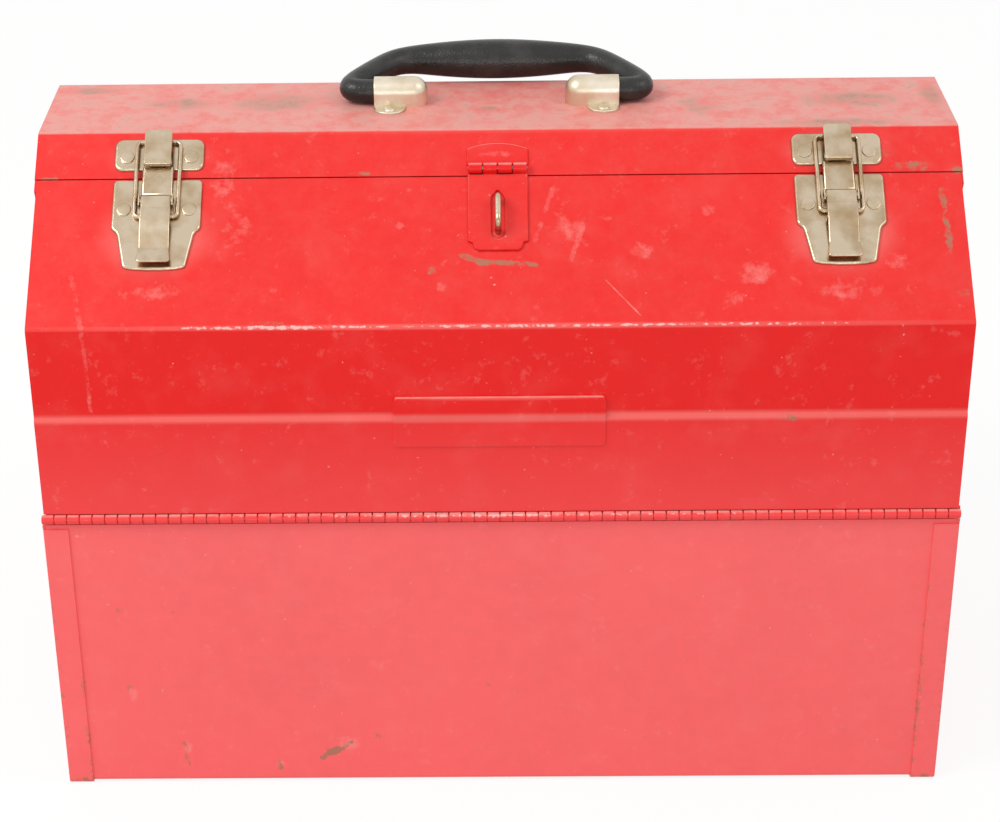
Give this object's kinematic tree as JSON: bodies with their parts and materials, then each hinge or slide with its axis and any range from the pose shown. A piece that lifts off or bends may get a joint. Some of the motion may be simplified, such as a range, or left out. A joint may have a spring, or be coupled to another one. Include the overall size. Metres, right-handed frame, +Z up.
{
  "type": "cantilever toolbox",
  "caption": "Red steel cantilever toolbox: hip-roofed covers hinged to the base swing apart and carry linked trays, with draw latches, a hasp and a folding handle.",
  "frame": {"origin": "on the floor under the middle of the box", "axes": "+X to the right seen from the front, the front faces -Y, +Z up"},
  "size_m": [0.4596, 0.2522, 0.354],
  "materials": {
    "red_enamel": "gloss enamel on pressed steel, scuffed",
    "nickel_plate": "worn nickel plate on pressed steel",
    "zinc_steel": "zinc plated steel",
    "black_grip": "moulded black plastic, finely grained"
  },
  "bodies": {
    "base": {"base_shell": "red_enamel", "base_end_left": "red_enamel", "base_end_right": "red_enamel", "base_link_rivets": "zinc_steel", "front_hinge_base_leaf": "red_enamel", "rear_hinge_base_leaf": "red_enamel", "front_hinge_pin": "zinc_steel", "rear_hinge_pin": "zinc_steel"},
    "front_cover": {"front_cover_panel": "red_enamel", "front_cover_end_left": "red_enamel", "front_cover_end_right": "red_enamel", "front_hinge_cover_leaf": "red_enamel", "front_tray_rivets": "zinc_steel", "latch_shield_left": "nickel_plate", "latch_shield_right": "nickel_plate", "latch_shield_rivets": "nickel_plate", "latch_pin_left": "nickel_plate", "latch_pin_right": "nickel_plate", "hasp_staple": "zinc_steel"},
    "rear_cover": {"rear_cover_panel": "red_enamel", "rear_cover_end_left": "red_enamel", "rear_cover_end_right": "red_enamel", "rear_hinge_cover_leaf": "red_enamel", "rear_tray_rivets": "zinc_steel", "latch_strike_left": "nickel_plate", "latch_strike_right": "nickel_plate", "latch_strike_rivets": "nickel_plate", "hasp_leaf": "red_enamel", "hasp_pin": "zinc_steel", "handle_clip_left": "nickel_plate", "handle_clip_right": "nickel_plate", "handle_clip_rivets": "nickel_plate"},
    "hasp_strap": {"hasp_strap": "red_enamel"},
    "handle": {"handle_grip": "black_grip"},
    "front_lower_tray": {"front_lower_tray": "red_enamel", "front_lower_link_rivets": "zinc_steel"},
    "front_upper_tray": {"front_upper_tray": "red_enamel", "front_upper_link_rivets": "zinc_steel"},
    "front_link_left": {"front_link_left": "zinc_steel"},
    "front_link_right": {"front_link_right": "zinc_steel"},
    "rear_lower_tray": {"rear_lower_tray": "red_enamel", "rear_lower_link_rivets": "zinc_steel"},
    "rear_upper_tray": {"rear_upper_tray": "red_enamel", "rear_upper_link_rivets": "zinc_steel"},
    "rear_link_left": {"rear_link_left": "zinc_steel"},
    "rear_link_right": {"rear_link_right": "zinc_steel"},
    "latch_lever_left": {"latch_lever_left": "nickel_plate"},
    "latch_bail_left": {"latch_bail_left": "nickel_plate"},
    "latch_lever_right": {"latch_lever_right": "nickel_plate"},
    "latch_bail_right": {"latch_bail_right": "nickel_plate"}
  },
  "joints": [
    {"name": "front_cover_hinge", "type": "hinge", "parent": "base", "child": "front_cover", "pos_m": [0, -0.1237, 0.162], "axis": [1, 0, 0], "range_deg": [0, 90]},
    {"name": "front_lower_tray_pivot", "type": "hinge", "parent": "front_cover", "child": "front_lower_tray", "pos_m": [0, -0.0937, 0.192], "axis": [1, 0, 0], "range_deg": [-90, 0]},
    {"name": "front_upper_tray_pivot", "type": "hinge", "parent": "front_cover", "child": "front_upper_tray", "pos_m": [0, -0.0477, 0.238], "axis": [1, 0, 0], "range_deg": [-90, 0]},
    {"name": "front_link_left_pivot", "type": "hinge", "parent": "base", "child": "front_link_left", "pos_m": [-0.22085, -0.0897, 0.152], "axis": [1, 0, 0], "range_deg": [0, 90]},
    {"name": "front_link_right_pivot", "type": "hinge", "parent": "base", "child": "front_link_right", "pos_m": [0.22085, -0.0897, 0.152], "axis": [1, 0, 0], "range_deg": [0, 90]},
    {"name": "rear_cover_hinge", "type": "hinge", "parent": "base", "child": "rear_cover", "pos_m": [0, 0.1237, 0.162], "axis": [-1, 0, 0], "range_deg": [0, 90]},
    {"name": "rear_lower_tray_pivot", "type": "hinge", "parent": "rear_cover", "child": "rear_lower_tray", "pos_m": [0, 0.0937, 0.192], "axis": [-1, 0, 0], "range_deg": [-90, 0]},
    {"name": "rear_upper_tray_pivot", "type": "hinge", "parent": "rear_cover", "child": "rear_upper_tray", "pos_m": [0, 0.0477, 0.238], "axis": [-1, 0, 0], "range_deg": [-90, 0]},
    {"name": "rear_link_left_pivot", "type": "hinge", "parent": "base", "child": "rear_link_left", "pos_m": [-0.22085, 0.0897, 0.152], "axis": [-1, 0, 0], "range_deg": [0, 90]},
    {"name": "rear_link_right_pivot", "type": "hinge", "parent": "base", "child": "rear_link_right", "pos_m": [0.22085, 0.0897, 0.152], "axis": [-1, 0, 0], "range_deg": [0, 90]},
    {"name": "latch_lever_left_pivot", "type": "hinge", "parent": "front_cover", "child": "latch_lever_left", "pos_m": [-0.1672, -0.07086, 0.31116], "axis": [-1, 0, 0], "range_deg": [0, 100]},
    {"name": "latch_bail_left_pivot", "type": "hinge", "parent": "latch_lever_left", "child": "latch_bail_left", "pos_m": [-0.1672, -0.07662, 0.30521], "axis": [-1, 0, 0], "range_deg": [-85, 0]},
    {"name": "latch_lever_right_pivot", "type": "hinge", "parent": "front_cover", "child": "latch_lever_right", "pos_m": [0.1672, -0.07086, 0.31116], "axis": [-1, 0, 0], "range_deg": [0, 100]},
    {"name": "latch_bail_right_pivot", "type": "hinge", "parent": "latch_lever_right", "child": "latch_bail_right", "pos_m": [0.1672, -0.07662, 0.30521], "axis": [-1, 0, 0], "range_deg": [-85, 0]},
    {"name": "hasp_hinge", "type": "hinge", "parent": "rear_cover", "child": "hasp_strap", "pos_m": [0, -0.05555, 0.32063], "axis": [-1, 0, 0], "range_deg": [0, 120]},
    {"name": "handle_pivot", "type": "hinge", "parent": "rear_cover", "child": "handle", "pos_m": [0, 0.003, 0.3398], "axis": [1, 0, 0], "range_deg": [0, 165]}
  ],
  "couplings": [
    {"joint": "front_lower_tray_pivot", "follows": "front_cover_hinge", "ratio": -1},
    {"joint": "front_upper_tray_pivot", "follows": "front_cover_hinge", "ratio": -1},
    {"joint": "front_link_left_pivot", "follows": "front_cover_hinge", "ratio": 1},
    {"joint": "front_link_right_pivot", "follows": "front_cover_hinge", "ratio": 1},
    {"joint": "rear_lower_tray_pivot", "follows": "rear_cover_hinge", "ratio": -1},
    {"joint": "rear_upper_tray_pivot", "follows": "rear_cover_hinge", "ratio": -1},
    {"joint": "rear_link_left_pivot", "follows": "rear_cover_hinge", "ratio": 1},
    {"joint": "rear_link_right_pivot", "follows": "rear_cover_hinge", "ratio": 1},
    {"joint": "latch_bail_left_pivot", "follows": "latch_lever_left_pivot", "ratio": -0.85},
    {"joint": "latch_bail_right_pivot", "follows": "latch_lever_right_pivot", "ratio": -0.85}
  ]
}
